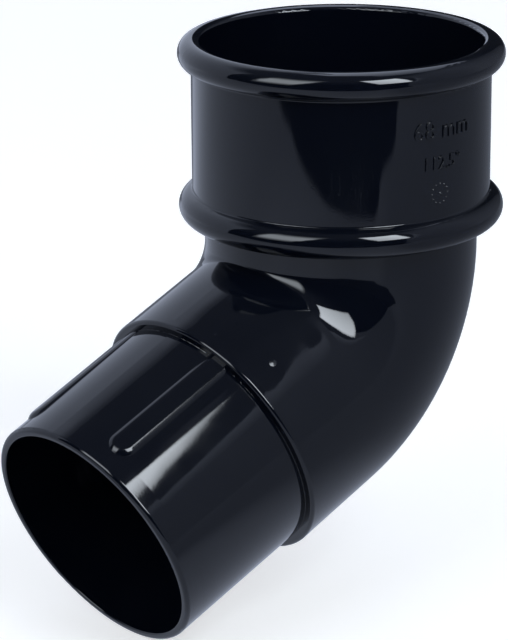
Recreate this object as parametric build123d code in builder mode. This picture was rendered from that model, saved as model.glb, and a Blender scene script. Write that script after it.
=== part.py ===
from build123d import *
import os
from math import cos, radians, sin

# Offset bend for a round rainwater downpipe: a socket above, a tight bend and a spigot below.
# The origin is the centre of the pipe stop at the bottom of the socket.
# +Z runs up the socket to its mouth, the spigot points towards -X, and y = 0 is the mirror plane.
# All lengths are in millimetres and all angles in degrees.

# The downpipe that the bend serves
pipe_radius = 34.0
pipe_wall = 2.0

# Socket, from the pipe stop to the mouth
socket_clearance = 0.2  # radial play around the pipe
socket_wall = 2.1
rim_bead_height = 38.7  # bead centre above the pipe stop
rim_bead_radius = 3.45
base_bead_height = 1.0
base_bead_radius = 3.75
bead_stand_out = 3.25  # how far both beads stand out of the socket wall
bead_root_fillet = 0.5
lead_in_radius = 0.8  # rounding where the pipe enters
stop_corner_fillet = 0.6
stop_floor = 2.2  # thickness of the ledge that stops the pipe
stop_edge_radius = 0.7

# Body, from the pipe stop round the bend to the step
turn_angle = 67.5  # the two pipes then stand at 112.5 degrees to each other
neck_length = 8.1
throat_radius = 0.3  # inside radius of the bend
body_wall = 2.2
body_length = 25.35  # straight run from the end of the bend to the step
spigot_step = 2.25  # how far the body stands out of the spigot
step_run = 1.6  # run over which the body slopes down to the spigot
step_edge_radius = 0.8
step_root_fillet = 0.3

# Spigot, which slides into the next pipe
spigot_length = 40.3
spigot_wall = 2.4
spigot_taper = 0.35  # loss of radius from the step to the plain land at the mouth
spigot_land_length = 5.0  # straight round land at the mouth
mouth_outer_radius = 1.05
mouth_inner_radius = 0.4
bore_slope_length = 3.0  # run over which the body's bore narrows to the spigot's
bore_slope_fillet = 1.5

# Centring ribs on the throat side of the spigot
rib_clearance = 0.5  # radial play between the ribs and the pipe around them
rib_height = 0.45
rib_width = 5.8
rib_end_gap = 0.3  # from the ribs' round ends to the land
rib_angle = 29.5  # from the mirror plane to each rib's centre
rib_edge_radius = 1.8

# Sizes that follow from those above
socket_bore_radius = pipe_radius + socket_clearance
socket_radius = socket_bore_radius + socket_wall
bead_crest_radius = socket_radius + bead_stand_out
rib_top_radius = pipe_radius - pipe_wall - rib_clearance
rib_length = spigot_length - spigot_land_length - rib_end_gap
spigot_radius = rib_top_radius - rib_height
land_radius = spigot_radius - spigot_taper
spigot_bore_radius = spigot_radius - spigot_wall
body_radius = spigot_radius + spigot_step
body_bore_radius = body_radius - body_wall
bend_radius = body_radius + throat_radius

# The bend turns about an axis along Y on the throat side
bend_centre = Vector(-bend_radius, 0, -neck_length)
flow = Vector(-sin(radians(turn_angle)), 0, -cos(radians(turn_angle)))
throat_side = Vector(-cos(radians(turn_angle)), 0, sin(radians(turn_angle)))
bend_end = bend_centre - throat_side * bend_radius
step_centre = bend_end + flow * body_length


def vertex_at(sketch, x, y):
    return sketch.vertices().sort_by_distance((x, y, 0))[0]


def rib_plane(around):
    outwards = throat_side * cos(radians(around)) + Vector(0, 1, 0) * sin(radians(around))
    return Plane(origin=step_centre, x_dir=flow, z_dir=outwards)


# Two flat-topped ribs with a round end and soft edges, rooted inside the spigot wall
rib_floor = rib_top_radius - 1.25 * rib_edge_radius
with BuildPart() as ribs:
    for side in (-1, 1):
        with BuildSketch(rib_plane(side * rib_angle).offset(rib_floor)):
            with Locations((-spigot_step, 0)):
                Rectangle(
                    spigot_step + rib_length - rib_width / 2,
                    rib_width,
                    align=(Align.MIN, Align.CENTER),
                )
            with Locations((rib_length - rib_width / 2, 0)):
                Circle(rib_width / 2)
        extrude(amount=rib_top_radius - rib_floor + rib_height)
    with BuildSketch(Plane(origin=step_centre, z_dir=flow)):
        Circle(rib_top_radius)
    extrude(amount=spigot_length, both=True, mode=Mode.INTERSECT)
    rib_tops = ribs.faces().filter_by(lambda face: face.radius and face.radius > rib_width)
    fillet(rib_tops.edges(), rib_edge_radius)

with BuildPart() as offset_bend:
    # Socket and neck: half section in X and Z, turned about Z
    with BuildSketch(Plane.XZ) as socket_section:
        with Locations((0, -neck_length)):
            Rectangle(body_radius, neck_length, align=(Align.MIN, Align.MIN))
        with Locations((0, -stop_floor)):
            Rectangle(socket_radius, stop_floor + rim_bead_height, align=(Align.MIN, Align.MIN))
        with Locations((bead_crest_radius - rim_bead_radius, rim_bead_height)):
            Circle(rim_bead_radius)
        with Locations((bead_crest_radius - base_bead_radius, base_bead_height)):
            Circle(base_bead_radius)
        with Locations((0, -neck_length)):
            Rectangle(
                body_bore_radius,
                neck_length,
                align=(Align.MIN, Align.MIN),
                mode=Mode.SUBTRACT,
            )
        Rectangle(
            socket_bore_radius,
            rim_bead_height + rim_bead_radius,
            align=(Align.MIN, Align.MIN),
            mode=Mode.SUBTRACT,
        )
        fillet(vertex_at(socket_section, socket_radius, rim_bead_height - rim_bead_radius), bead_root_fillet)
        fillet(vertex_at(socket_section, socket_radius, base_bead_height + base_bead_radius), bead_root_fillet)
        fillet(vertex_at(socket_section, body_radius, -stop_floor), bead_root_fillet)
        fillet(vertex_at(socket_section, socket_bore_radius, rim_bead_height + rim_bead_radius), lead_in_radius)
        fillet(vertex_at(socket_section, socket_bore_radius, 0), stop_corner_fillet)
        fillet(vertex_at(socket_section, body_bore_radius, 0), stop_edge_radius)
    revolve(axis=Axis.Z)

    # Bend: the body's ring turned about the bend's own axis
    with BuildSketch(Plane.XY.offset(-neck_length)):
        Circle(body_radius)
        Circle(body_bore_radius, mode=Mode.SUBTRACT)
    revolve(axis=Axis(bend_centre, (0, 1, 0)), revolution_arc=turn_angle)

    # Body end and spigot: half section with x along the flow and y outwards
    with BuildSketch(Plane(origin=bend_end, x_dir=flow, z_dir=(0, 1, 0))) as outlet_section:
        with BuildLine():
            spigot_mouth_x = body_length + spigot_length
            Polyline(
                (0, body_bore_radius),
                (0, body_radius),
                (body_length - step_run, body_radius),
                (body_length, spigot_radius),
                (spigot_mouth_x - spigot_land_length, land_radius),
                (spigot_mouth_x, land_radius),
                (spigot_mouth_x, spigot_bore_radius),
                (body_length - spigot_step, spigot_bore_radius),
                (body_length - spigot_step - bore_slope_length, body_bore_radius),
                close=True,
            )
        make_face()
        fillet(vertex_at(outlet_section, body_length - step_run, body_radius), step_edge_radius)
        fillet(vertex_at(outlet_section, body_length, spigot_radius), step_root_fillet)
        fillet(vertex_at(outlet_section, spigot_mouth_x, land_radius), mouth_outer_radius)
        fillet(vertex_at(outlet_section, spigot_mouth_x, spigot_bore_radius), mouth_inner_radius)
        fillet(vertex_at(outlet_section, body_length - spigot_step, spigot_bore_radius), bore_slope_fillet)
        bore_slope_top = vertex_at(
            outlet_section,
            body_length - spigot_step - bore_slope_length,
            body_bore_radius,
        )
        fillet(bore_slope_top, bore_slope_fillet)
    revolve(axis=Axis(bend_end, flow))
    add(ribs.part)

os.makedirs("parts", exist_ok=True)
offset_bend.part.label = "offset_bend"
export_step(offset_bend.part, "parts/offset_bend.step")
print(f"offset bend: turn {turn_angle} degrees, socket bore {2 * socket_bore_radius:.1f} mm")
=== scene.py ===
import math

import bmesh
import bpy
from mathutils import Matrix, Vector


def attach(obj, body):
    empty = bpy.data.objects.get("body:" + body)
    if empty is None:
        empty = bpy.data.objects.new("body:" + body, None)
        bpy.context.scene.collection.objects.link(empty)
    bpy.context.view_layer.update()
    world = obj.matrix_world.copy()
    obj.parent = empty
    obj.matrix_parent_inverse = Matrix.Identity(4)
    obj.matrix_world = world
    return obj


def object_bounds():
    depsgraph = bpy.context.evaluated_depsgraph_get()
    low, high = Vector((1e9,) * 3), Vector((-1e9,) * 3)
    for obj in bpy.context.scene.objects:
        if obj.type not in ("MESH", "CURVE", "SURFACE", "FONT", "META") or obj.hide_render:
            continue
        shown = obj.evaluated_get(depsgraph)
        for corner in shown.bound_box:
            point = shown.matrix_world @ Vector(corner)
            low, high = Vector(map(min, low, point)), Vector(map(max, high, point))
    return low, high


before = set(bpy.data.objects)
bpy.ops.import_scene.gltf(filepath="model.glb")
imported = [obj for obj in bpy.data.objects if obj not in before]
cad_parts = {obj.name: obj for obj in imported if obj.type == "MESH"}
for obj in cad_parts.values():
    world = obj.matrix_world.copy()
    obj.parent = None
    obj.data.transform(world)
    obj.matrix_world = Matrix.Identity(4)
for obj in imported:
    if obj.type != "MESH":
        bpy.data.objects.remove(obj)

scene = bpy.context.scene
bpy.context.view_layer.update()
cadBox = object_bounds()
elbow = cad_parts["offset_bend"]
print("stage: frame loaded")


# The camera stands at the photograph's angle, looking slightly down the socket's side
cameraSet = {
    "heading": 42.835,        # degrees round the part, from looking along +Y
    "drop": 18.217,           # degrees below the horizontal
    "roll": -0.383,
    "location": (-0.51401, -0.52309, 0.21173),
    "focalPixels": 3118.8,
    "imageHeight": 640,
    "sensor": 36.0,
    "centreOffset": 0.5,      # pixels from the frame's middle to the optical axis, right and down
    "nearest": 0.01,
    "farthest": 20,
}


def makeCamera(values):
    heading, drop, roll = (math.radians(values[key]) for key in ("heading", "drop", "roll"))
    forward = Vector((
        math.sin(heading) * math.cos(drop),
        math.cos(heading) * math.cos(drop),
        -math.sin(drop),
    ))
    level = Vector((math.cos(heading), -math.sin(heading), 0))
    above = level.cross(forward)
    right = level * math.cos(roll) + above * math.sin(roll)
    up = above * math.cos(roll) - level * math.sin(roll)
    data = bpy.data.cameras.new("photoCamera")
    data.sensor_width = values["sensor"]
    data.lens = values["focalPixels"] / values["imageHeight"] * values["sensor"]
    data.shift_x = -values["centreOffset"] / values["imageHeight"]
    data.shift_y = values["centreOffset"] / values["imageHeight"]
    data.clip_start = values["nearest"]
    data.clip_end = values["farthest"]
    camera = bpy.data.objects.new("photoCamera", data)
    scene.collection.objects.link(camera)
    turn = Matrix((right, up, -forward)).transposed()
    camera.matrix_world = Matrix.Translation(values["location"]) @ turn.to_4x4()
    scene.camera = camera


makeCamera(cameraSet)
print("stage: camera placed")


def blendNumbers(low, high, share):
    return low + (high - low) * share


# Places on the body and spigot: millimetres along the flow from the bend's end, millimetres out
# from the pipe's axis, and degrees round it from the throat's side
outlet = {"bendEnd": (-20.742, 0.0, -39.142), "turn": 67.5}
millimetre = 0.001
flow = Vector((-math.sin(math.radians(outlet["turn"])), 0, -math.cos(math.radians(outlet["turn"]))))
throatSide = Vector((flow.z, 0, -flow.x))


# Node helpers: short ways to add nodes, join them and lay them out
def addNode(tree, kind, **values):
    node = tree.nodes.new(kind)
    for key, value in values.items():
        setattr(node, key, value)
    return node


def setInputs(node, **values):
    for key, value in values.items():
        node.inputs[key.replace("_", " ")].default_value = value
    return node


# A socket is joined to the input, and anything else becomes the input's own value
def feed(tree, value, socket):
    if hasattr(value, "is_linked"):
        tree.links.new(value, socket)
    else:
        socket.default_value = value


def newGroup(name, inputs, outputs):
    group = bpy.data.node_groups.new(name, "ShaderNodeTree")
    for socketName, kind, value in inputs:
        socket = group.interface.new_socket(name=socketName, in_out="INPUT", socket_type=kind)
        if value is not None:
            socket.default_value = value
    for socketName, kind in outputs:
        group.interface.new_socket(name=socketName, in_out="OUTPUT", socket_type=kind)
    given = addNode(group, "NodeGroupInput").outputs
    result = addNode(group, "NodeGroupOutput").inputs
    return group, given, result


def mathNode(tree, operation, first, second=None, clamp=False):
    node = addNode(tree, "ShaderNodeMath", operation=operation, use_clamp=clamp)
    feed(tree, first, node.inputs[0])
    if second is not None:
        feed(tree, second, node.inputs[1])
    return node.outputs[0]


def vectorNode(tree, operation, first, second):
    node = addNode(tree, "ShaderNodeVectorMath", operation=operation)
    tree.links.new(first, node.inputs[0])
    tree.links.new(second, node.inputs[1])
    return node.outputs["Value"]


def rangeNode(tree, value, low, high, toLow=0.0, toHigh=1.0):
    node = addNode(tree, "ShaderNodeMapRange", interpolation_type="SMOOTHSTEP")
    feed(tree, low, node.inputs["From Min"])
    feed(tree, high, node.inputs["From Max"])
    setInputs(node, To_Min=toLow, To_Max=toHigh)
    tree.links.new(value, node.inputs["Value"])
    return node.outputs["Result"]


def noiseNode(tree, vector, scale, detail, rough):
    node = addNode(tree, "ShaderNodeTexNoise")
    setInputs(node, Detail=detail, Roughness=rough)
    feed(tree, scale, node.inputs["Scale"])
    tree.links.new(vector, node.inputs["Vector"])
    return node.outputs["Fac"]


def bumpNode(tree, height, depth, normal=None):
    node = setInputs(addNode(tree, "ShaderNodeBump"), Strength=1.0)
    tree.links.new(depth, node.inputs["Distance"])
    tree.links.new(height, node.inputs["Height"])
    if normal is not None:
        tree.links.new(normal, node.inputs["Normal"])
    return node.outputs["Normal"]


# Where a Mix node of each kind takes its first and second value and gives its result
mixSpots = {"RGBA": (6, 7, 2), "FLOAT": (2, 3, 0)}


def mixNode(tree, kind, mask, first, second):
    node = addNode(tree, "ShaderNodeMix", data_type=kind)
    firstSpot, secondSpot, resultSpot = mixSpots[kind]
    tree.links.new(mask, node.inputs[0])
    feed(tree, first, node.inputs[firstSpot])
    feed(tree, second, node.inputs[secondSpot])
    return node.outputs[resultSpot]


# 1 where the camera, a reflection or a clear thing looks, and 0 for the light on matt surfaces
def seenRays(tree):
    path = addNode(tree, "ShaderNodeLightPath").outputs
    seen = mathNode(tree, "MAXIMUM", path["Is Camera Ray"], path["Is Glossy Ray"])
    return mathNode(tree, "MAXIMUM", seen, path["Is Transmission Ray"])


# Nodes stand in columns, each to the left of all that it feeds
nodeSpacing = {"column": 230, "row": 260}


def layOutNodes(tree, values=nodeSpacing):
    columns = {node.name: 0 for node in tree.nodes}
    for _ in tree.nodes:
        for link in tree.links:
            before, after = link.from_node.name, link.to_node.name
            columns[before] = max(columns[before], columns[after] + 1)
    filled = {}
    for node in tree.nodes:
        column = columns[node.name]
        node.location = (-values["column"] * column, -values["row"] * filled.get(column, 0))
        filled[column] = filled.get(column, 0) + 1


# In what follows a noise is its scale, detail and roughness, without the scale where that is an input
# of the group, and a range is where a mask starts and ends

# Shared effect: the slow ripple of a moulded wall round one spot, and a fine grain all over, as a normal
rippleForm = {
    "wave": (0.5, 0.5),
    "reachRange": (1.0, 0.55),          # shares of the reach
    "endRange": (0.0, 0.006),           # metres before the wave's end
    "grain": (2600.0, 2.0, 0.6),
}


def mouldRippleGroup(values=rippleForm):
    group, given, result = newGroup(
        "mouldRipple",
        [("Wave Size", "NodeSocketFloat", 40.0), ("Wave Depth", "NodeSocketFloat", 0.0002),
         ("Wave Spot", "NodeSocketVector", None), ("Wave Reach", "NodeSocketFloat", 0.03),
         ("Wave Aim", "NodeSocketVector", None), ("Wave End", "NodeSocketFloat", 0.06),
         ("Grain Depth", "NodeSocketFloat", 0.000004)],
        [("Normal", "NodeSocketVector")])
    place = addNode(group, "ShaderNodeTexCoord").outputs["Object"]
    away = vectorNode(group, "DISTANCE", place, given["Wave Spot"])
    near = rangeNode(group, mathNode(group, "DIVIDE", away, given["Wave Reach"]), *values["reachRange"])
    along = vectorNode(group, "DOT_PRODUCT", place, given["Wave Aim"])
    left = mathNode(group, "SUBTRACT", given["Wave End"], along)
    near = mathNode(group, "MULTIPLY", near, rangeNode(group, left, *values["endRange"]))
    wave = noiseNode(group, place, given["Wave Size"], *values["wave"])
    swing = mathNode(group, "SUBTRACT", wave, 0.5)
    slow = bumpNode(group, mathNode(group, "MULTIPLY", swing, near), given["Wave Depth"])
    grain = noiseNode(group, place, *values["grain"])
    group.links.new(bumpNode(group, grain, given["Grain Depth"], slow), result["Normal"])
    layOutNodes(group)
    return group


# Shared effect: hairline scuffs and hand smears, as masks
scuffForm = {
    "hairs": (((0.3, 0.2, 0.5), 0.05), ((1.1, 0.7, 2.1), 0.04)),    # how each set turns and stretches
    "hair": (3.0, 0.75),
    "hairRange": (0.004, 0.0),
    "patch": (55.0, 2.0, 0.6),          # where hairs show
    "patchRange": (0.52, 0.72),
    "smear": (4.0, 0.62),
    "smearRange": (0.4, 0.7),
}


def handlingScuffsGroup(values=scuffForm):
    group, given, result = newGroup(
        "handlingScuffs",
        [("Scuff Scale", "NodeSocketFloat", 260.0), ("Scuff Amount", "NodeSocketFloat", 0.5),
         ("Smear Scale", "NodeSocketFloat", 30.0)],
        [("Scuffs", "NodeSocketFloat"), ("Smears", "NodeSocketFloat")])
    place = addNode(group, "ShaderNodeTexCoord").outputs["Object"]
    lines = None
    for turn, stretch in values["hairs"]:
        mapping = setInputs(addNode(group, "ShaderNodeMapping"), Rotation=turn, Scale=(1.0, 1.0, stretch))
        group.links.new(place, mapping.inputs["Vector"])
        hair = noiseNode(group, mapping.outputs["Vector"], given["Scuff Scale"], *values["hair"])
        ridge = mathNode(group, "ABSOLUTE", mathNode(group, "SUBTRACT", hair, 0.5))
        thin = rangeNode(group, ridge, *values["hairRange"])
        lines = thin if lines is None else mathNode(group, "MAXIMUM", lines, thin)
    patch = rangeNode(group, noiseNode(group, place, *values["patch"]), *values["patchRange"])
    shown = mathNode(group, "MULTIPLY", lines, patch)
    group.links.new(mathNode(group, "MULTIPLY", shown, given["Scuff Amount"], clamp=True), result["Scuffs"])
    smear = noiseNode(group, place, given["Smear Scale"], *values["smear"])
    group.links.new(rangeNode(group, smear, *values["smearRange"]), result["Smears"])
    layOutNodes(group)
    return group


# Shared effect: rubbed edges, from how sharply the surface turns
rubForm = {
    "broken": (4.0, 0.7),               # what breaks the rubbing up
    "brokenRange": (0.35, 0.65),
}


def edgeRubGroup(values=rubForm):
    group, given, result = newGroup(
        "edgeRub",
        [("Start", "NodeSocketFloat", 0.52), ("End", "NodeSocketFloat", 0.6),
         ("Break Up", "NodeSocketFloat", 300.0)],
        [("Mask", "NodeSocketFloat")])
    turn = addNode(group, "ShaderNodeNewGeometry").outputs["Pointiness"]
    edges = rangeNode(group, turn, given["Start"], given["End"])
    place = addNode(group, "ShaderNodeTexCoord").outputs["Object"]
    broken = noiseNode(group, place, given["Break Up"], *values["broken"])
    broken = rangeNode(group, broken, *values["brokenRange"])
    group.links.new(mathNode(group, "MULTIPLY", edges, broken, clamp=True), result["Mask"])
    layOutNodes(group)
    return group


# Shared effect: a thin film of dust with specks, thickest on what faces up
dustForm = {
    "facingRange": (-0.2, 1.0, 0.15, 1.0),    # of the normal's rise, and the share of dust there
    "cloud": (80.0, 4.0, 0.65),
    "cloudRange": (0.35, 0.75),
    "speckRange": (0.16, 0.08),
}


def fineDustGroup(values=dustForm):
    group, given, result = newGroup(
        "fineDust",
        [("Film", "NodeSocketFloat", 0.2), ("Speck Scale", "NodeSocketFloat", 900.0),
         ("Speck Share", "NodeSocketFloat", 0.05)],
        [("Mask", "NodeSocketFloat")])
    rise = addNode(group, "ShaderNodeSeparateXYZ")
    group.links.new(addNode(group, "ShaderNodeNewGeometry").outputs["Normal"], rise.inputs["Vector"])
    facing = rangeNode(group, rise.outputs["Z"], *values["facingRange"])
    place = addNode(group, "ShaderNodeTexCoord").outputs["Object"]
    cloud = rangeNode(group, noiseNode(group, place, *values["cloud"]), *values["cloudRange"])
    film = mathNode(group, "MULTIPLY", mathNode(group, "MULTIPLY", cloud, facing), given["Film"])
    cells = addNode(group, "ShaderNodeTexVoronoi")
    group.links.new(place, cells.inputs["Vector"])
    group.links.new(given["Speck Scale"], cells.inputs["Scale"])
    dots = rangeNode(group, cells.outputs["Distance"], *values["speckRange"])
    chosen = addNode(group, "ShaderNodeSeparateColor")
    group.links.new(cells.outputs["Color"], chosen.inputs["Color"])
    rare = mathNode(group, "LESS_THAN", chosen.outputs["Red"], given["Speck Share"])
    specks = mathNode(group, "MULTIPLY", mathNode(group, "MULTIPLY", dots, rare), facing)
    group.links.new(mathNode(group, "MAXIMUM", film, specks, clamp=True), result["Mask"])
    layOutNodes(group)
    return group


effects = {
    "ripple": mouldRippleGroup(),
    "scuffs": handlingScuffsGroup(),
    "rub": edgeRubGroup(),
    "dust": fineDustGroup(),
}
print("stage: shared effects built")


glossBlack = {
    "deep": (0.0012, 0.0019, 0.0044, 1),     # the plastic where it is darkest
    "worn": (0.0018, 0.0026, 0.005, 1),      # the same plastic where it clouds a little
    "rubbed": (0.009, 0.01, 0.013, 1),       # along edges that rub on other pipes
    "dust": (0.06, 0.064, 0.07, 1),
    "ior": 1.5,
    "polish": 0.03,                          # roughness of the clean gloss
    "smeared": 0.07,
    "scuffed": 0.34,
    "rubbedRough": 0.3,
    "dusty": 0.6,
    "waveSize": 88.0,
    "waveDepth": 0.00024,
    "waveSpot": (-0.041, -0.021, -0.019),    # the throat's corner of the body, where the wall ripples most
    "waveReach": 0.034,
    "waveAim": tuple(flow),
    "waveEnd": 0.0592,                       # along the flow, where the body ends
    "grainDepth": 0.000002,
    "scuffAmount": 0.5,
    "rubStart": 0.53,
    "rubEnd": 0.62,
    "film": 0.015,
    "specks": 0.0004,
}


def makeGloss(name, values):
    material = bpy.data.materials.new(name)
    material.use_nodes = True
    tree = material.node_tree
    shader = setInputs(tree.nodes["Principled BSDF"], IOR=values["ior"], Metallic=0.0)

    def effect(key, **inputs):
        return setInputs(addNode(tree, "ShaderNodeGroup", node_tree=effects[key]), **inputs).outputs

    ripple = effect(
        "ripple", Wave_Size=values["waveSize"], Wave_Depth=values["waveDepth"], Wave_Spot=values["waveSpot"],
        Wave_Reach=values["waveReach"], Wave_Aim=values["waveAim"], Wave_End=values["waveEnd"],
        Grain_Depth=values["grainDepth"])
    scuffs = effect("scuffs", Scuff_Amount=values["scuffAmount"])
    rub = effect("rub", Start=values["rubStart"], End=values["rubEnd"])
    dust = effect("dust", Film=values["film"], Speck_Share=values["specks"])
    colour = mixNode(tree, "RGBA", scuffs["Smears"], values["deep"], values["worn"])
    colour = mixNode(tree, "RGBA", rub["Mask"], colour, values["rubbed"])
    colour = mixNode(tree, "RGBA", dust["Mask"], colour, values["dust"])
    rough = rangeNode(tree, scuffs["Smears"], 0.0, 1.0, values["polish"], values["smeared"])
    rough = mixNode(tree, "FLOAT", scuffs["Scuffs"], rough, values["scuffed"])
    rough = mixNode(tree, "FLOAT", rub["Mask"], rough, values["rubbedRough"])
    rough = mixNode(tree, "FLOAT", dust["Mask"], rough, values["dusty"])
    tree.links.new(colour, shader.inputs["Base Color"])
    tree.links.new(rough, shader.inputs["Roughness"])
    tree.links.new(ripple["Normal"], shader.inputs["Normal"])
    layOutNodes(tree)
    return material


mouldedGloss = makeGloss("mouldedGloss", glossBlack)
# The raised figures and pips are a little duller than the wall around them
dullBlack = {**glossBlack, "polish": 0.2, "smeared": 0.3, "waveDepth": 0.0}
mouldedDull = makeGloss("mouldedDull", dullBlack)
# The ribs shine a trace softer than the wall
ribBlack = {**glossBlack, "polish": 0.1, "smeared": 0.13, "waveDepth": 0.0}
mouldedRib = makeGloss("mouldedRib", ribBlack)
elbow.data.materials.clear()
elbow.data.materials.append(mouldedGloss)
print("stage: moulded plastic on the elbow")


def outletSide(around):
    return throatSide * math.cos(math.radians(around)) + Vector((0, 1, 0)) * math.sin(math.radians(around))


def outletPoint(along, out, around):
    return (Vector(outlet["bendEnd"]) + flow * along + outletSide(around) * out) * millimetre


def finishPiece(name, form, material, normals=None):
    bmesh.ops.recalc_face_normals(form, faces=form.faces[:])
    mesh = bpy.data.meshes.new(name)
    form.to_mesh(mesh)
    form.free()
    mesh.shade_smooth()
    if normals:
        mesh.normals_split_custom_set_from_vertices(normals)
    mesh.materials.append(material)
    piece = bpy.data.objects.new(name, mesh)
    scene.collection.objects.link(piece)
    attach(piece, "root")
    return piece


# Step rim: the square shoulder with a rounded edge that ends the body, standing over the solid's slope
stepRimSet = {
    "face": 25.37,            # along the flow
    "start": 22.9,
    "lip": 0.02,              # run over which it rises out of the wall
    "out": 33.32,
    "sunk": 33.2,             # where its start hides inside the wall
    "foot": 31.0,             # where its foot hides inside the wall
    "round": 0.9,
    "roundSteps": 9,
    "turns": 216,
}


# Each row is a place along the flow and out from the axis, and its normal's share in both directions
def stepRimProfile(values):
    rows = [(values["start"], values["sunk"], 0, 1), (values["start"] + values["lip"], values["out"], 0, 1)]
    for step in range(values["roundSteps"] + 1):
        turn = math.radians(90 * step / values["roundSteps"])
        along = values["face"] - values["round"] * (1 - math.sin(turn))
        out = values["out"] - values["round"] * (1 - math.cos(turn))
        rows.append((along, out, math.sin(turn), math.cos(turn)))
    rows.append((values["face"], values["foot"], 1, 0))
    return rows


def makeStepRim(values):
    form = bmesh.new()
    profile = stepRimProfile(values)
    rings = []
    normals = []
    for index in range(values["turns"]):
        around = 360 * index / values["turns"]
        rings.append([form.verts.new(outletPoint(along, out, around)) for along, out, ahead, side in profile])
        normals += [flow * ahead + outletSide(around) * side for along, out, ahead, side in profile]
    for index, ring in enumerate(rings):
        after = rings[(index + 1) % len(rings)]
        for spot in range(len(profile)):
            follow = (spot + 1) % len(profile)
            form.faces.new((ring[spot], ring[follow], after[follow], after[spot]))
    finishPiece("stepRim", form, mouldedGloss, normals)


makeStepRim(stepRimSet)
print("stage: step rim")


# Rib skins: the softer, wider flanks of the two centring ribs, a hair above the solid's own ribs
ribSkinSet = {
    "ribs": (("ribSkinFront", -29.5), ("ribSkinBack", 29.5)),    # degrees round from the throat's side
    "start": 25.2,            # along the flow, just inside the step
    "step": 25.35,
    "endCentre": 57.0,        # middle of the round end
    "top": 31.53,
    "spigot": 31.05,          # the spigot's radius at the step
    "taper": 0.35,
    "taperRun": 35.3,
    "flat": 1.6,              # half the flat top
    "edge": 2.8,              # radius of the rounded edge
    "tuckTurn": 50,           # how far the edge has turned where it ends inside the wall
    "reach": 3.8,             # half the whole width
    "depth": 0.6,             # how far the skin reaches into the wall
    "steps": (180, 64),
}


def ribPoint(along, side, around, depth=0.0, values=ribSkinSet):
    share = min(max((along - values["step"]) / values["taperRun"], 0), 1)
    base = values["spigot"] - values["taper"] * share
    edge = values["edge"]
    away = math.hypot(max(along - values["endCentre"], 0), side) - values["flat"]
    past = min(max(away, 0), edge * math.sin(math.radians(values["tuckTurn"])))
    out = base - depth if depth else values["top"] - edge + math.sqrt(edge * edge - past * past)
    return outletPoint(along, out, around + math.degrees(side / values["top"]))


def makeRibSkin(name, around, values=ribSkinSet):
    form = bmesh.new()
    alongSteps, sideSteps = values["steps"]
    reach = values["reach"]
    end = values["endCentre"] + reach
    sides = [blendNumbers(-reach, reach, step / sideSteps) for step in range(sideSteps + 1)]
    rows = []
    floors = []
    for alongStep in range(alongSteps + 1):
        along = blendNumbers(values["start"], end, alongStep / alongSteps)
        rows.append([form.verts.new(ribPoint(along, side, around)) for side in sides])
        floors.append([form.verts.new(ribPoint(along, side, around, values["depth"]))
                       for side in (-reach, reach)])
    for (row, after), (floor, floorAfter) in zip(zip(rows, rows[1:]), zip(floors, floors[1:])):
        for step in range(sideSteps):
            form.faces.new((row[step], row[step + 1], after[step + 1], after[step]))
        form.faces.new((floor[0], row[0], after[0], floorAfter[0]))
        form.faces.new((row[-1], floor[1], floorAfter[1], after[-1]))
        form.faces.new((floor[1], floor[0], floorAfter[0], floorAfter[1]))
    for row, floor in ((rows[0], floors[0]), (rows[-1], floors[-1])):
        form.faces.new([floor[0]] + row + [floor[1]])
    finishPiece(name, form, mouldedRib)


for rib in ribSkinSet["ribs"]:
    makeRibSkin(*rib)
print("stage: rib skins")


# Pips: small round specks that the mould left, with a soft foot that sinks into the wall
pipSet = {
    "sink": 0.03,
    "point": 0.12,            # depth of the point that closes each pip inside the wall
    "rings": 10,
    "turns": 28,
}


def addPip(form, pipAt, height, reach, values=pipSet):
    def pipPoint(share, turn, lift):
        return pipAt(reach * share * math.cos(turn), reach * share * math.sin(turn), lift)

    top = form.verts.new(pipPoint(0, 0, height))
    bottom = form.verts.new(pipPoint(0, 0, -values["point"]))
    rows = []
    for ring in range(1, values["rings"] + 1):
        share = ring / values["rings"]
        lift = (height + values["sink"]) * (1 - share * share) ** 3 - values["sink"]
        rows.append([form.verts.new(pipPoint(share, math.radians(360 * spot / values["turns"]), lift))
                     for spot in range(values["turns"])])
    for spot in range(values["turns"]):
        follow = (spot + 1) % values["turns"]
        form.faces.new((top, rows[0][spot], rows[0][follow]))
        for inner, outer in zip(rows, rows[1:]):
            form.faces.new((inner[spot], outer[spot], outer[follow], inner[follow]))
        form.faces.new((rows[-1][follow], rows[-1][spot], bottom))


# Two pips on the body near the throat
bodyPips = {
    "wall": 33.3,
    "pips": {
        "pipLarge": {"along": 16.9, "around": -45.4, "height": 0.08, "reach": 1.3},
        "pipSmall": {"along": 15.9, "around": -23.5, "height": 0.08, "reach": 1.1},
    },
}


def makeBodyPip(name, values, wall=bodyPips["wall"]):
    def pipAt(x, y, lift):
        return outletPoint(values["along"] + x, wall + lift, values["around"] + math.degrees(y / wall))

    form = bmesh.new()
    addPip(form, pipAt, values["height"], values["reach"])
    finishPiece(name, form, mouldedDull)


for name, pip in bodyPips["pips"].items():
    makeBodyPip(name, pip)
print("stage: pips")


# Size marks: plain raised figures on the socket, with the pipe's size and the bend's angle
markSet = {
    "figures": {              # "middle" is above the pipe stop
        "sizeMark": {"words": "68 mm", "height": 4.4, "middle": 26.6},
        "angleMark": {"words": "112.5\u00b0", "height": 3.4, "middle": 18.6},
    },
    "around": -93.0,          # degrees round the socket
    "wall": 36.3,
    "raise": 0.34,
    "root": 0.15,             # how far the figures reach into the wall
    "fontGain": 1.4,          # the font's size against the figures' height
    "softEdge": 0.12,
    "softSteps": 2,
    "curveSteps": 6,
    "cut": 0.45,              # widest facet round the socket
    "weld": 0.0005,
    "cutWeld": 0.0001,
    "sharp": 35,
}


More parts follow.
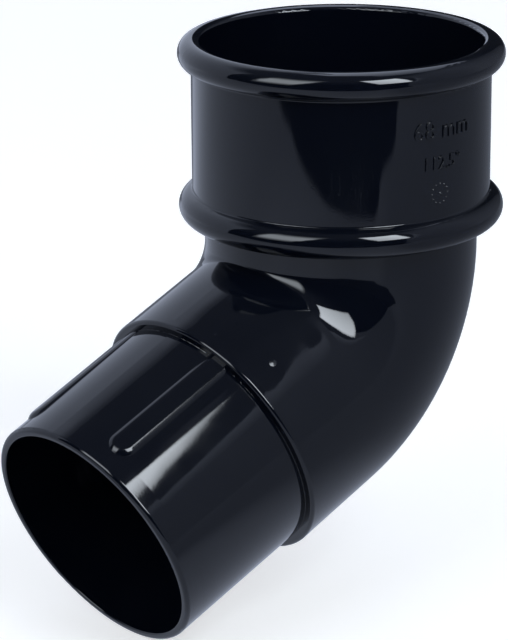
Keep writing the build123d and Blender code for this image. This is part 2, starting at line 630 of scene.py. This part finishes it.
def letterForm(name, words, size, values=markSet):
    data = bpy.data.curves.new(name, "FONT")
    data.body = words
    data.align_x = "CENTER"
    data.size = size
    data.offset = -values["softEdge"]
    data.extrude = (values["raise"] + values["root"]) / 2 - values["softEdge"]
    data.bevel_depth = values["softEdge"]
    data.bevel_resolution = values["softSteps"]
    data.resolution_u = values["curveSteps"]
    letters = bpy.data.objects.new(name + "Letters", data)
    scene.collection.objects.link(letters)
    bpy.context.view_layer.update()
    flat = bpy.data.meshes.new_from_object(letters.evaluated_get(bpy.context.evaluated_depsgraph_get()))
    bpy.data.objects.remove(letters)
    form = bmesh.new()
    form.from_mesh(flat)
    bpy.data.meshes.remove(flat)
    bmesh.ops.remove_doubles(form, verts=form.verts[:], dist=values["weld"])
    return form


def makeMark(name, words, height, middle, values=markSet):
    form = letterForm(name, words, height * values["fontGain"])
    lows = Vector([min(vert.co[axis] for vert in form.verts) for axis in range(3)])
    highs = Vector([max(vert.co[axis] for vert in form.verts) for axis in range(3)])
    for step in range(1, int((highs.x - lows.x) / values["cut"]) + 1):
        bmesh.ops.bisect_plane(form, geom=form.verts[:] + form.edges[:] + form.faces[:],
                               dist=values["cutWeld"], plane_co=(lows.x + step * values["cut"], 0, 0),
                               plane_no=(1, 0, 0))
    grow = height / (highs.y - lows.y)
    for vert in form.verts:
        across = (vert.co.x - (lows.x + highs.x) / 2) * grow
        around = math.radians(values["around"]) + across / values["wall"]
        out = values["wall"] + values["raise"] + vert.co.z - highs.z
        up = middle + (vert.co.y - (lows.y + highs.y) / 2) * grow
        vert.co = Vector((math.cos(around) * out, math.sin(around) * out, up)) * millimetre
    piece = finishPiece(name, form, mouldedDull)
    piece.data.set_sharp_from_angle(angle=math.radians(values["sharp"]))


for name, figures in markSet["figures"].items():
    makeMark(name, **figures)

# A ring of dots round a hub under the figures, where moulds carry their dial
dialSet = {
    "around": -94.5,
    "middle": 10.9,
    "radius": 2.4,
    "dots": 12,
    "dot": (0.2, 0.45),       # height and reach
    "hub": (0.3, 0.8),
}


def dialPoint(across, up, lift, values=dialSet):
    around = math.radians(values["around"]) + across / markSet["wall"]
    out = markSet["wall"] + lift
    return Vector((math.cos(around) * out, math.sin(around) * out, values["middle"] + up)) * millimetre


def addDialDot(form, turn, values=dialSet):
    right = values["radius"] * math.sin(turn)
    above = values["radius"] * math.cos(turn)
    addPip(form, lambda x, y, lift: dialPoint(right + x, above + y, lift), *values["dot"])


def makeDial(values):
    form = bmesh.new()
    addPip(form, dialPoint, *values["hub"])
    for dot in range(values["dots"]):
        addDialDot(form, math.radians(360 * dot / values["dots"]))
    finishPiece("dialDots", form, mouldedDull)


makeDial(dialSet)
print("stage: size marks")


# Studio: soft boxes, cards and a dark tent round the part, on a pale table. A direction is a turn and
# a lift in degrees: turns go from the camera's side to the right as the camera sees it, lifts go up
# from the level. Steps are the facets across and up.
studio = {
    "centre": (-0.02, 0.0, -0.03),
    "lampTint": (0.87, 0.94, 1.02, 1),
    "roomTint": (0.78, 0.87, 1.09, 1),
    "fill": 0.45,              # what the room adds to matt surfaces
    "mattShare": 0.45,         # how much of the panels' light matt surfaces take, for a plain level
    "gain": 1.12,
    "boxSteps": (32, 32),
    "cardSteps": (40, 32),
}
# Each card hangs by its four corners, each with its turn, lift and brightness: "low" and "high" hold
# its left and right corner, and "fade" the shares of its width and height over which its border
# darkens to "edge"
softBoxes = {
    "softboxLeft": {
        "reach": 1.2, "fade": (0.14, 0.36), "edge": 0.12,
        "low": ((-65.5, 11.5, 4.6), (-36, 11.5, 4.8)),
        "high": ((-64, 57, 4.8), (-12, 57, 5.0)),
    },
    "softboxRight": {
        "reach": 1.2, "fade": (0.09, 0.05), "edge": 0.5,
        "low": ((25.5, 25, 6.8), (50.6, 24.5, 11.5)),
        "high": ((16, 55, 11.0), (52.1, 56, 13.5)),
    },
}
cards = {
    "wallLeft": {
        "reach": 1.5, "fade": (0, 0.14), "edge": 0.3,
        "low": ((-180, -30, 0.9), (-86, -30, 0.52)),
        "high": ((-180, 62, 0.66), (-86, 52, 0.7)),
    },
    "wallRight": {
        "reach": 1.5, "fade": (0, 0.12), "edge": 0.6,
        "low": ((43, -30, 0.2), (112, -30, 0.28)),
        "high": ((49, 62, 0.38), (112, 62, 0.36)),
    },
    "wallFarRight": {
        "reach": 1.5, "fade": (0, 0.1), "edge": 0.6,
        "low": ((112, -30, 0.27), (160, -30, 0.05)),
        "high": ((112, 60, 0.34), (152, 46, 0.05)),
    },
    "lightBack": {
        "reach": 1.5, "fade": (0.06, 0.06), "edge": 0.4,
        "low": ((150, 38, 0.6), (199, 32, 2.2)),
        "high": ((88, 78, 0.6), (193, 78, 2.1)),
    },
    "softboxHood": {
        "reach": 1.25, "fade": (0, 0), "edge": 1,
        "low": ((52, 22, 0.14), (60.5, 45, 0.14)),
        "high": ((52, 72, 0.11), (60.5, 72, 0.14)),
    },
    "softboxSpill": {
        "reach": 1.3, "fade": (0, 0), "edge": 1,
        "low": ((48, 13, 0.32), (63, 32, 0.34)),
        "high": ((52, 23, 0.85), (61, 47, 0.7)),
    },
}


def studioPoint(turn, lift, reach, values=studio):
    around = math.radians(270 - cameraSet["heading"] + turn)
    rise = math.radians(lift)
    away = Vector((math.cos(around) * math.cos(rise), math.sin(around) * math.cos(rise), math.sin(rise)))
    return Vector(values["centre"]) + away * reach


# A place on the level at a height, right and ahead of the part as the camera sees it
def floorPoint(right, ahead, height):
    lead = studioPoint(0, 0, 1) - Vector(studio["centre"])
    across = studioPoint(90, 0, 1) - Vector(studio["centre"])
    return Vector((0, 0, height)) + lead * ahead + across * right


def softStep(value, low, high):
    share = min(max((value - low) / (high - low), 0), 1)
    return share * share * (3 - 2 * share)


def makePanelGlow(name, tint):
    material = bpy.data.materials.new(name)
    material.use_nodes = True
    tree = material.node_tree
    tree.nodes.clear()
    light = setInputs(addNode(tree, "ShaderNodeEmission"), Color=tint)
    level = addNode(tree, "ShaderNodeVertexColor", layer_name="glow").outputs["Color"]
    diffuse = addNode(tree, "ShaderNodeLightPath").outputs["Is Diffuse Ray"]
    matt = mathNode(tree, "MULTIPLY", diffuse, 1 - studio["mattShare"])
    strength = mathNode(tree, "MULTIPLY", level, mathNode(tree, "SUBTRACT", 1.0, matt))
    tree.links.new(strength, light.inputs["Strength"])
    tree.links.new(light.outputs[0], addNode(tree, "ShaderNodeOutputMaterial").inputs["Surface"])
    layOutNodes(tree)
    return material


def makePanel(name, placeAt, glowAt, steps, tint=studio["roomTint"], gain=studio["gain"]):
    form = bmesh.new()
    glowLayer = form.verts.layers.float_color.new("glow")
    rows = []
    for upStep in range(steps[1] + 1):
        row = []
        for acrossStep in range(steps[0] + 1):
            across, up = acrossStep / steps[0], upStep / steps[1]
            vert = form.verts.new(placeAt(across, up))
            glow = glowAt(across, up) * gain
            vert[glowLayer] = (glow, glow, glow, 1)
            row.append(vert)
        rows.append(row)
    for lower, upper in zip(rows, rows[1:]):
        for index in range(steps[0]):
            form.faces.new((lower[index + 1], lower[index], upper[index], upper[index + 1]))
    mesh = bpy.data.meshes.new(name)
    form.to_mesh(mesh)
    form.free()
    mesh.materials.append(makePanelGlow(name + "Glow", tint))
    panel = bpy.data.objects.new(name, mesh)
    scene.collection.objects.link(panel)
    panel.visible_camera = False
    return panel


def cardPlace(card):
    def placeAt(across, up):
        corner = [blendNumbers(blendNumbers(*low, across), blendNumbers(*high, across), up)
                  for low, high in zip(zip(*card["low"]), zip(*card["high"]))]
        return studioPoint(corner[0], corner[1], card["reach"])
    return placeAt


def cardGlow(card):
    def glowAt(across, up):
        inside = 1
        for border, fade in zip((min(across, 1 - across), min(up, 1 - up)), card["fade"]):
            if fade:
                inside = inside * softStep(border, 0, fade)
        glow = blendNumbers(*(blendNumbers(left[2], right[2], across) for left, right in
                              (card["low"], card["high"])), up)
        return glow * blendNumbers(card["edge"], 1, inside)
    return glowAt


for name, box in softBoxes.items():
    makePanel(name, cardPlace(box), cardGlow(box), studio["boxSteps"], studio["lampTint"], 1)
for name, card in cards.items():
    makePanel(name, cardPlace(card), cardGlow(card), studio["cardSteps"])


# The tent goes all the way round, and only shows in the gloss
tentSet = {
    "reach": 1.9,
    "turns": (-180, 180),
    "lifts": (-50, 90),
    "glow": (0.02, 0.12),      # low and high
    "glowLifts": (22, 60),     # where it starts and ends to brighten
    "steps": (48, 56),
}


def tentPlace(across, up, values=tentSet):
    turn = blendNumbers(*values["turns"], across)
    return studioPoint(turn, blendNumbers(*values["lifts"], up), values["reach"])


def tentGlow(across, up, values=tentSet):
    return blendNumbers(*values["glow"], softStep(blendNumbers(*values["lifts"], up), *values["glowLifts"]))


darkTent = makePanel("darkTent", tentPlace, tentGlow, tentSet["steps"], gain=1)
darkTent.visible_diffuse = False
darkTent.visible_shadow = False


# Table: white paper round the part, with a dark floor and a glowing board on it that only the gloss sees. The
# board's glow is painted light on the table, with the part's painted shadow on it
tableSet = {
    "reach": 2.2,
    "paper": (0.80, 0.80, 0.80, 1),
    "lift": 0.57,             # what the paper adds where it is seen, so that it comes out white
    "gap": 0.0002,            # below the part
    "darkReach": 1.9,
    "dark": (0.03, 0.03, 0.035, 1),
    "matt": 0.9,
}
boardSet = {
    "rise": 0.0001,           # above the paper
    "side": 1.5,
    "back": -1.5,
    "steps": (400, 60),
    "front": [                # right and ahead of the part, along its front edge
        (-1.5, 0.30), (-0.36, 0.365), (-0.31, 0.385), (-0.25, 0.382), (-0.13, 0.388), (-0.09, 0.383),
        (-0.04, 0.381), (0.0, 0.379), (0.06, 0.371), (0.11, 0.359), (0.14, 0.345), (0.168, 0.35),
        (0.187, 0.372), (0.21, 0.381), (0.24, 0.377), (0.265, 0.369), (0.3, 0.373), (0.33, 0.4),
        (0.5, 0.45), (1.5, 1.6),
    ],
    # Painted light and shade on the board: lighter to the left and back-left, darker to the right and
    # back-right where it stands in for the part's painted shadow; shift and slant place that shadow's edge
    "glowFront": (0.395, 0.36),               # left and right
    "glowBack": (0.62, 0.21),
    "shift": (0.01, 0.088),                   # where left turns into right
    "slant": (0.5, 0.03),                     # how fast that moves right going ahead, and from where
    "nearGlow": (-0.17, 0.24, 0.22, 1.22),    # a lighter spot: right, ahead, reach and gain
    "nearCore": 3,                            # its reach against its even core's
    "farRight": (0.5, 1.2, 0.76),             # from, to, and what is left of the glow
    "farBack": (-0.2, -0.38, 1.3),
    "shiftBack": (0.4, -0.22),                # where front turns into back
}


def boardFront(side):
    points = boardSet["front"]
    for first, second in zip(points, points[1:]):
        if side <= second[0]:
            return blendNumbers(first[1], second[1], (side - first[0]) / (second[0] - first[0]))
    return points[-1][1]


def boardSpot(across, up):
    side = blendNumbers(-boardSet["side"], boardSet["side"], across)
    return side, blendNumbers(boardSet["back"], boardFront(side), up)


def boardPlace(across, up):
    return floorPoint(*boardSpot(across, up), cadBox[0].z - tableSet["gap"] + boardSet["rise"])


# The board's glow: painted table light and the part's painted shadow, seen only in the gloss
def boardPaintedLightAndShadow(across, up):
    side, ahead = boardSpot(across, up)
    nearEnd, farEnd = boardSet["shiftBack"]
    backShare = min(max((nearEnd - ahead) / (nearEnd - farEnd), 0), 1)
    left = blendNumbers(boardSet["glowFront"][0], boardSet["glowBack"][0], backShare)
    right = blendNumbers(boardSet["glowFront"][1], boardSet["glowBack"][1], backShare)
    backFrom, backTo, backGain = boardSet["farBack"]
    left = left * blendNumbers(1, backGain, softStep(-ahead, -backFrom, -backTo))
    rightFrom, rightTo, rightGain = boardSet["farRight"]
    right = right * blendNumbers(1, rightGain, softStep(side, rightFrom, rightTo))
    spotSide, spotAhead, spotReach, spotGain = boardSet["nearGlow"]
    spotAway = math.hypot(side - spotSide, ahead - spotAhead)
    spotShare = softStep(spotAway, spotReach, spotReach / boardSet["nearCore"])
    slant, slantFrom = boardSet["slant"]
    turned = side - slant * (ahead - slantFrom)
    glow = blendNumbers(left, right, softStep(turned, *boardSet["shift"]))
    return glow * blendNumbers(1, spotGain, spotShare)


def makeSheet(name, reach, height, material):
    form = bmesh.new()
    corners = [floorPoint(right * reach, ahead * reach, height)
               for right, ahead in ((-1, 1), (1, 1), (1, -1), (-1, -1))]
    form.faces.new([form.verts.new(corner) for corner in corners])
    form.normal_update()
    for face in form.faces:
        if face.normal.z < 0:
            face.normal_flip()
    mesh = bpy.data.meshes.new(name)
    form.to_mesh(mesh)
    form.free()
    mesh.materials.append(material)
    sheet = bpy.data.objects.new(name, mesh)
    scene.collection.objects.link(sheet)
    return sheet


def makePaper(name, colour, lift=0.0):
    material = bpy.data.materials.new(name)
    material.use_nodes = True
    tree = material.node_tree
    shader = setInputs(tree.nodes["Principled BSDF"], Base_Color=colour, Roughness=tableSet["matt"],
                       Specular_IOR_Level=0.0, Emission_Color=(1, 1, 1, 1))
    if lift:
        glow = mathNode(tree, "MULTIPLY", seenRays(tree), lift)
        tree.links.new(glow, shader.inputs["Emission Strength"])
    layOutNodes(tree)
    return material


paperHeight = cadBox[0].z - tableSet["gap"]
makeSheet("paleTable", tableSet["reach"], paperHeight,
          makePaper("whitePaper", tableSet["paper"], tableSet["lift"]))
paintedShadowBoard = makePanel("paintedShadowBoard", boardPlace, boardPaintedLightAndShadow, boardSet["steps"])
darkFloor = makeSheet("darkFloor", tableSet["darkReach"], paperHeight + boardSet["rise"] / 2,
                      makePaper("darkFloor", tableSet["dark"]))
darkFloor.visible_camera = False
for board in (paintedShadowBoard, darkFloor):
    board.visible_diffuse = False
    board.visible_shadow = False


# The world is plain white where it is seen, and a soft fill for matt surfaces
def makeWorld(values):
    world = bpy.data.worlds.new("studioWorld")
    scene.world = world
    world.use_nodes = True
    tree = world.node_tree
    tree.nodes.clear()
    seen = seenRays(tree)
    white = setInputs(addNode(tree, "ShaderNodeBackground"), Color=(1, 1, 1, 1), Strength=1.0)
    room = setInputs(addNode(tree, "ShaderNodeBackground"), Color=values["lampTint"], Strength=values["fill"])
    mix = addNode(tree, "ShaderNodeMixShader")
    tree.links.new(seen, mix.inputs[0])
    tree.links.new(room.outputs[0], mix.inputs[1])
    tree.links.new(white.outputs[0], mix.inputs[2])
    tree.links.new(mix.outputs[0], addNode(tree, "ShaderNodeOutputWorld").inputs["Surface"])
    layOutNodes(tree)


makeWorld(studio)
scene.view_settings.view_transform = "Standard"
print("stage: studio lit")
